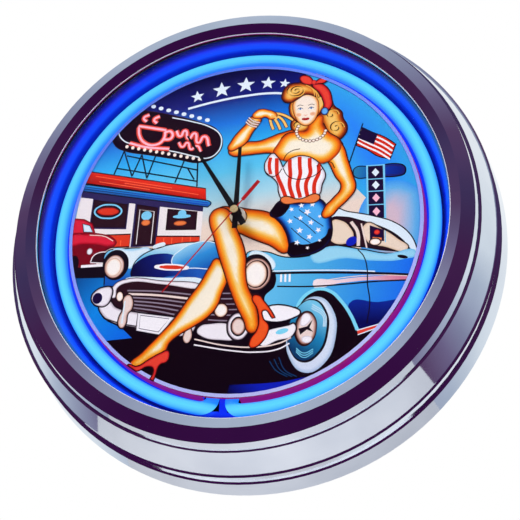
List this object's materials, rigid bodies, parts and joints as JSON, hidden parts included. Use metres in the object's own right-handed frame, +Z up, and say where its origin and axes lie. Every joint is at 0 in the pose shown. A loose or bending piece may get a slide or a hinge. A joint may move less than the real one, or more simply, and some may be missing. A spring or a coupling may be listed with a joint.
{
  "type": "neon wall clock",
  "caption": "Round wall clock in a flared chrome case: blue neon ring round a printed dial, flat glass, three hands, quartz movement, lamp inverter, hinged rear door.",
  "frame": {"origin": "on the hands' axis, where it meets the wall plane at the outer face of the movement door", "axes": "+X to the right as the dial is read, +Y into the wall, +Z up"},
  "size_m": [0.43, 0.072, 0.43],
  "materials": {
    "chrome_plate": "mirror-bright plating",
    "clear_glass": "clear flat glass",
    "black_rubber": "matte",
    "blue_enamel": "gloss blue",
    "printed_dial": "full-colour print",
    "white_nylon": "moulded",
    "zinc_steel": "zinc plated",
    "neon_glass": "lit blue",
    "nickel_metal": "nickel plated",
    "lead_sleeve": "silicone sleeve",
    "black_case": "fine texture",
    "circuit_board": "solder mask",
    "ferrite": "matte",
    "capacitor_sleeve": "sleeved can",
    "rocker_red": "gloss",
    "brass": "turned",
    "magnet": "sintered",
    "white_gear": "moulded acetal",
    "copper_winding": "enamelled wire",
    "battery_sleeve": "printed film",
    "black_hand": "matte black",
    "red_hand": "gloss red",
    "gold_cap": "polished"
  },
  "bodies": {
    "case": {"battery_contacts": "zinc_steel", "body_shell": "chrome_plate", "centre_nut": "white_nylon", "coil": "copper_winding", "coil_core": "zinc_steel", "cover_screws": "zinc_steel", "dc_jack": "black_case", "dial_plate": "printed_dial", "dial_post_screws": "zinc_steel", "dial_posts": "white_nylon", "dial_washer": "brass", "door_hinge_pin": "zinc_steel", "electrode_boots": "black_rubber", "electrodes": "nickel_metal", "front_bezel": "chrome_plate", "front_glass": "clear_glass", "glass_gasket": "black_rubber", "hanger_plate": "zinc_steel", "hanger_rivets": "zinc_steel", "high_voltage_leads": "lead_sleeve", "inverter_board": "circuit_board", "inverter_capacitors": "capacitor_sleeve", "inverter_case": "black_case", "inverter_lid": "black_case", "inverter_screws": "zinc_steel", "inverter_transformer": "ferrite", "inverter_transistor": "nickel_metal", "low_voltage_leads": "lead_sleeve", "movement_back": "black_case", "movement_board": "circuit_board", "movement_bush": "brass", "movement_case": "black_case", "movement_seal": "black_rubber", "neon_tube": "neon_glass", "quartz_crystal": "zinc_steel", "rear_cover": "black_case", "reflector_pan": "blue_enamel", "stator": "zinc_steel", "switch_body": "black_case", "tube_supports": "white_nylon", "wall_bumpers": "black_rubber"},
    "second": {"second_wheel": "white_gear", "second_hand": "red_hand", "hand_cap": "gold_cap"},
    "minute": {"centre_wheel": "brass", "minute_hand": "black_hand"},
    "hour": {"hour_wheel": "brass", "hour_hand": "black_hand"},
    "third": {"third_wheel": "white_gear"},
    "fifth": {"fifth_wheel": "white_gear"},
    "rotor": {"rotor_pinion": "brass", "rotor_magnet": "magnet"},
    "motion": {"motion_wheel": "white_gear"},
    "setting": {"setting_knob": "black_case"},
    "door": {"movement_door": "black_case"},
    "rocker": {"switch_rocker": "rocker_red"},
    "cell": {"battery": "battery_sleeve"}
  },
  "joints": [
    {"name": "second_hand_spin", "type": "hinge", "parent": "case", "child": "second", "pos_m": [0, -0.03, 0], "axis": [0, 1, 0], "continuous": true},
    {"name": "minute_hand_spin", "type": "hinge", "parent": "case", "child": "minute", "pos_m": [0, -0.03, 0], "axis": [0, 1, 0], "continuous": true},
    {"name": "hour_hand_spin", "type": "hinge", "parent": "case", "child": "hour", "pos_m": [0, -0.03, 0], "axis": [0, 1, 0], "continuous": true},
    {"name": "third_wheel_spin", "type": "hinge", "parent": "case", "child": "third", "pos_m": [-0.0108, -0.03, 0], "axis": [0, 1, 0], "continuous": true},
    {"name": "fifth_wheel_spin", "type": "hinge", "parent": "case", "child": "fifth", "pos_m": [0.0056, -0.03, 0.0097], "axis": [0, 1, 0], "continuous": true},
    {"name": "rotor_spin", "type": "hinge", "parent": "case", "child": "rotor", "pos_m": [0.01284, -0.03, 0.00776], "axis": [0, 1, 0], "continuous": true},
    {"name": "motion_wheel_spin", "type": "hinge", "parent": "case", "child": "motion", "pos_m": [0, -0.03, -0.0084], "axis": [0, 1, 0], "continuous": true},
    {"name": "setting_knob_spin", "type": "hinge", "parent": "case", "child": "setting", "pos_m": [-0.00818, -0.03, -0.01312], "axis": [0, 1, 0], "continuous": true},
    {"name": "movement_door_hinge", "type": "hinge", "parent": "case", "child": "door", "pos_m": [0, -0.0015, -0.0575], "axis": [-1, 0, 0], "range_deg": [0, 110]},
    {"name": "lamp_switch_rocker", "type": "hinge", "parent": "case", "child": "rocker", "pos_m": [0.1, -0.0064, -0.05], "axis": [-1, 0, 0], "range_deg": [0, 24]},
    {"name": "battery_lift", "type": "slide", "parent": "case", "child": "cell", "axis": [0, 1, 0], "range_m": [0, 0.018]}
  ],
  "couplings": [
    {"joint": "minute_hand_spin", "follows": "second_hand_spin", "ratio": 0.016667},
    {"joint": "hour_hand_spin", "follows": "second_hand_spin", "ratio": 0.0013889},
    {"joint": "third_wheel_spin", "follows": "second_hand_spin", "ratio": -0.13333},
    {"joint": "fifth_wheel_spin", "follows": "second_hand_spin", "ratio": -6},
    {"joint": "rotor_spin", "follows": "second_hand_spin", "ratio": 30},
    {"joint": "motion_wheel_spin", "follows": "second_hand_spin", "ratio": -0.0055556},
    {"joint": "setting_knob_spin", "follows": "second_hand_spin", "ratio": 0.011111}
  ]
}
